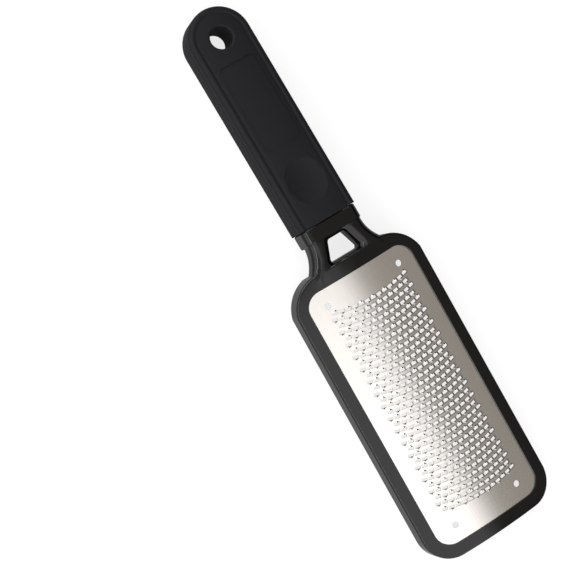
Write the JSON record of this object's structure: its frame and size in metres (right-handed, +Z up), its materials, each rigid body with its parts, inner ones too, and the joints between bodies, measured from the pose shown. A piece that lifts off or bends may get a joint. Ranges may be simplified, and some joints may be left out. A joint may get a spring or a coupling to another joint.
{
  "type": "foot rasp",
  "caption": "Long foot rasp: an etched, toothed steel plate in a gloss black rounded frame, with a soft black handle that has a thumb hollow and a hanging hole.",
  "frame": {"origin": "middle of the rasp's outline seen from above, on the surface that it lies on", "axes": "+Z up as it lies on a table with its teeth up, +Y along its length from the handle's tail to the far end of the head, +X across it"},
  "size_m": [0.0672, 0.266, 0.0227],
  "materials": {
    "frame_gloss": "gloss",
    "plate_steel": "satin",
    "grip_soft": "matte"
  },
  "bodies": {
    "root": {"head_frame": "frame_gloss", "rasp_plate": "plate_steel", "grip": "grip_soft"}
  },
  "joints": []
}
